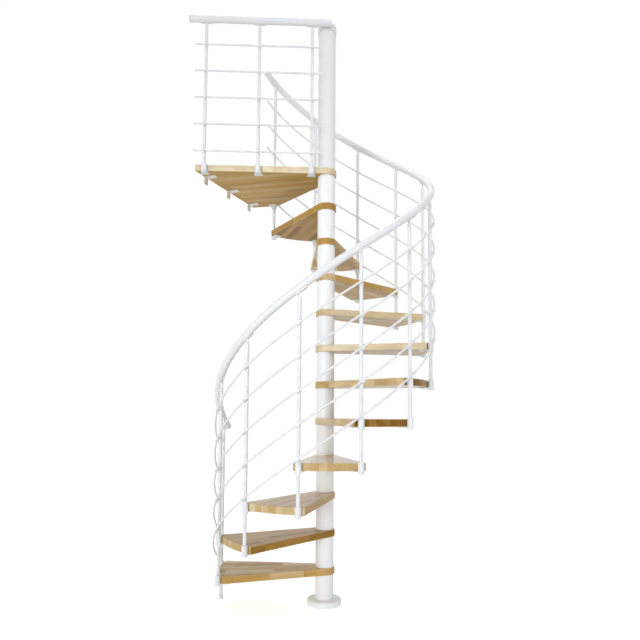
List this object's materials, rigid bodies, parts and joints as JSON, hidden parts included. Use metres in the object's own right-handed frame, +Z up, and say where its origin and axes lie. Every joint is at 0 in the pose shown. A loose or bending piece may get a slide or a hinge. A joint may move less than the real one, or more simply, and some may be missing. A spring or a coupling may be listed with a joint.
{
  "type": "spiral staircase",
  "caption": "Spiral staircase with wooden wedge treads on a white steel column, a helical handrail with thin rods, and a triangular landing with a straight railing.",
  "frame": {"origin": "centre of the floor flange's underside, on the floor", "axes": "+Z up the column; the landing railing's outer side faces -Y and the landing reaches out along -X"},
  "size_m": [1.514, 1.324, 3.597],
  "materials": {
    "wood": "satin lacquer on laminated staves",
    "paint": "satin white powder coat",
    "zinc": "bright zinc plate"
  },
  "bodies": {
    "root": {"tread_01": "wood", "tread_02": "wood", "tread_03": "wood", "tread_04": "wood", "tread_05": "wood", "tread_06": "wood", "tread_07": "wood", "tread_08": "wood", "tread_09": "wood", "tread_10": "wood", "tread_11": "wood", "landing": "wood", "base_flange": "paint", "column_spacers": "paint", "newel_post": "paint", "post_cap": "paint", "baluster_00": "paint", "baluster_01": "paint", "baluster_02": "paint", "baluster_03": "paint", "baluster_04": "paint", "baluster_05": "paint", "baluster_06": "paint", "baluster_07": "paint", "baluster_08": "paint", "baluster_09": "paint", "baluster_10": "paint", "baluster_11": "paint", "handrail": "paint", "rod_1": "paint", "rod_2": "paint", "rod_3": "paint", "rod_4": "paint", "rod_5": "paint", "baluster_clamps": "paint", "floor_foot": "paint", "rail_saddles": "paint", "rail_end_caps": "paint", "landing_balusters": "paint", "landing_handrail": "paint", "landing_rods": "paint", "landing_saddles": "paint", "landing_end_caps": "paint", "central_pole": "zinc", "wall_brackets": "zinc"}
  },
  "joints": []
}
